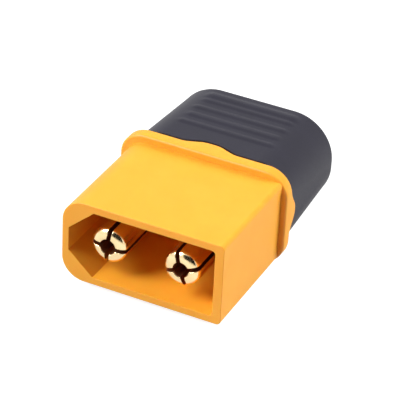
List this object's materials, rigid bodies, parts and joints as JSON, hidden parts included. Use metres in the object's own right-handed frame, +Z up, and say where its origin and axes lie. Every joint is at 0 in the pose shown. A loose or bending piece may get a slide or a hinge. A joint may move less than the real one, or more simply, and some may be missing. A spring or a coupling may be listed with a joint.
{
  "type": "power connector plug",
  "caption": "Pin half of a DC power connector: keyed rectangular shroud round split gold pins, flanged collar with a wavy seam, and a ribbed clip-on sheath open behind for the wires.",
  "frame": {"origin": "middle of the connector's footprint, on the plane that the collar's underside rests on", "axes": "-Y is the mating mouth, +Y the wire end and the way the sheath comes off, +X the square end with the positive contact, +Z up"},
  "size_m": [0.0168, 0.024, 0.0096],
  "materials": {
    "yellow_nylon": "satin moulded nylon",
    "gold_plate": "bright gold plating on turned brass",
    "black_nylon": "satin moulded nylon, faintly ribbed"
  },
  "bodies": {
    "plug": {"housing": "yellow_nylon", "contact_negative": "gold_plate", "contact_positive": "gold_plate"},
    "cover": {"sheath": "black_nylon"}
  },
  "joints": [
    {"name": "sheath_slide", "type": "slide", "parent": "plug", "child": "cover", "axis": [0, 1, 0], "range_m": [0, 0.01]}
  ]
}
